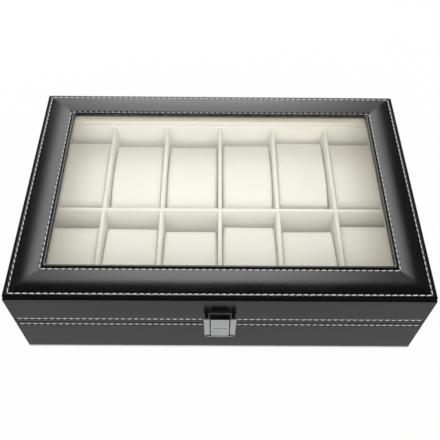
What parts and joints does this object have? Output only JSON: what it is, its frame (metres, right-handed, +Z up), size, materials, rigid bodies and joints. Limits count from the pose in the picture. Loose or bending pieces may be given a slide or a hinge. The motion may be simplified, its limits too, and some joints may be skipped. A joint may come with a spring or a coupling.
{
  "type": "watch display case",
  "caption": "Flat black leathercloth case with a hinged glass lid, a front snap latch and velvet places with loose pillows for watches.",
  "frame": {"origin": "on the floor under the middle of the closed case", "axes": "+X to the right along the long side, +Y to the hinges at the back, +Z up"},
  "size_m": [0.3, 0.2115, 0.0807],
  "materials": {
    "leathercloth": "glossy black leathercloth with a fine grain",
    "board": "raw fibreboard",
    "felt": "black felt",
    "velvet": "cream velvet",
    "lid_velvet": "cream velvet, a little pinker",
    "foam": "soft foam",
    "glass": "clear float glass",
    "chrome": "satin chrome plate",
    "nickel": "nickel-plated steel"
  },
  "bodies": {
    "base": {"base_felt_pad": "felt", "base_bottom_board": "board", "base_front_board": "board", "base_back_board": "board", "base_left_board": "board", "base_right_board": "board", "base_leather_wrap": "leathercloth", "base_floor_liner": "velvet", "base_front_liner": "velvet", "base_back_liner": "velvet", "base_left_liner": "velvet", "base_right_liner": "velvet", "long_divider": "velvet", "cross_divider_1": "velvet", "cross_divider_2": "velvet", "cross_divider_3": "velvet", "cross_divider_4": "velvet", "cross_divider_5": "velvet", "hinge_leaf_base_left": "nickel", "hinge_leaf_base_right": "nickel", "hinge_pin_left": "nickel", "hinge_pin_right": "nickel", "latch_catch": "chrome"},
    "lid": {"lid_front_board": "board", "lid_back_board": "board", "lid_left_board": "board", "lid_right_board": "board", "lid_leather_wrap": "leathercloth", "lid_front_liner": "lid_velvet", "lid_back_liner": "lid_velvet", "lid_left_liner": "lid_velvet", "lid_right_liner": "lid_velvet", "lid_panel_board": "board", "lid_panel_foam": "foam", "lid_panel_leather": "leathercloth", "glass_pane": "glass", "glass_retainer_front": "lid_velvet", "glass_retainer_back": "lid_velvet", "glass_retainer_left": "lid_velvet", "glass_retainer_right": "lid_velvet", "hinge_leaf_lid_left": "nickel", "hinge_leaf_lid_right": "nickel", "latch_bracket": "chrome", "latch_pin": "nickel"},
    "latch_flap": {"latch_flap": "chrome"},
    "pillow_1_body": {"pillow_1": "velvet"},
    "pillow_2_body": {"pillow_2": "velvet"},
    "pillow_3_body": {"pillow_3": "velvet"},
    "pillow_4_body": {"pillow_4": "velvet"},
    "pillow_5_body": {"pillow_5": "velvet"},
    "pillow_6_body": {"pillow_6": "velvet"},
    "pillow_7_body": {"pillow_7": "velvet"},
    "pillow_8_body": {"pillow_8": "velvet"},
    "pillow_9_body": {"pillow_9": "velvet"},
    "pillow_10_body": {"pillow_10": "velvet"},
    "pillow_11_body": {"pillow_11": "velvet"},
    "pillow_12_body": {"pillow_12": "velvet"}
  },
  "joints": [
    {"name": "lid_hinge", "type": "hinge", "parent": "base", "child": "lid", "pos_m": [0, 0.1024, 0.042], "axis": [-1, 0, 0], "range_deg": [0, 100]},
    {"name": "latch_pivot", "type": "hinge", "parent": "lid", "child": "latch_flap", "pos_m": [0, -0.1035, 0.0566], "axis": [-1, 0, 0], "range_deg": [0, 95]},
    {"name": "pillow_1_lift", "type": "slide", "parent": "base", "child": "pillow_1_body", "axis": [0, 0, 1], "range_m": [0, 0.035]},
    {"name": "pillow_2_lift", "type": "slide", "parent": "base", "child": "pillow_2_body", "axis": [0, 0, 1], "range_m": [0, 0.035]},
    {"name": "pillow_3_lift", "type": "slide", "parent": "base", "child": "pillow_3_body", "axis": [0, 0, 1], "range_m": [0, 0.035]},
    {"name": "pillow_4_lift", "type": "slide", "parent": "base", "child": "pillow_4_body", "axis": [0, 0, 1], "range_m": [0, 0.035]},
    {"name": "pillow_5_lift", "type": "slide", "parent": "base", "child": "pillow_5_body", "axis": [0, 0, 1], "range_m": [0, 0.035]},
    {"name": "pillow_6_lift", "type": "slide", "parent": "base", "child": "pillow_6_body", "axis": [0, 0, 1], "range_m": [0, 0.035]},
    {"name": "pillow_7_lift", "type": "slide", "parent": "base", "child": "pillow_7_body", "axis": [0, 0, 1], "range_m": [0, 0.035]},
    {"name": "pillow_8_lift", "type": "slide", "parent": "base", "child": "pillow_8_body", "axis": [0, 0, 1], "range_m": [0, 0.035]},
    {"name": "pillow_9_lift", "type": "slide", "parent": "base", "child": "pillow_9_body", "axis": [0, 0, 1], "range_m": [0, 0.035]},
    {"name": "pillow_10_lift", "type": "slide", "parent": "base", "child": "pillow_10_body", "axis": [0, 0, 1], "range_m": [0, 0.035]},
    {"name": "pillow_11_lift", "type": "slide", "parent": "base", "child": "pillow_11_body", "axis": [0, 0, 1], "range_m": [0, 0.035]},
    {"name": "pillow_12_lift", "type": "slide", "parent": "base", "child": "pillow_12_body", "axis": [0, 0, 1], "range_m": [0, 0.035]}
  ]
}
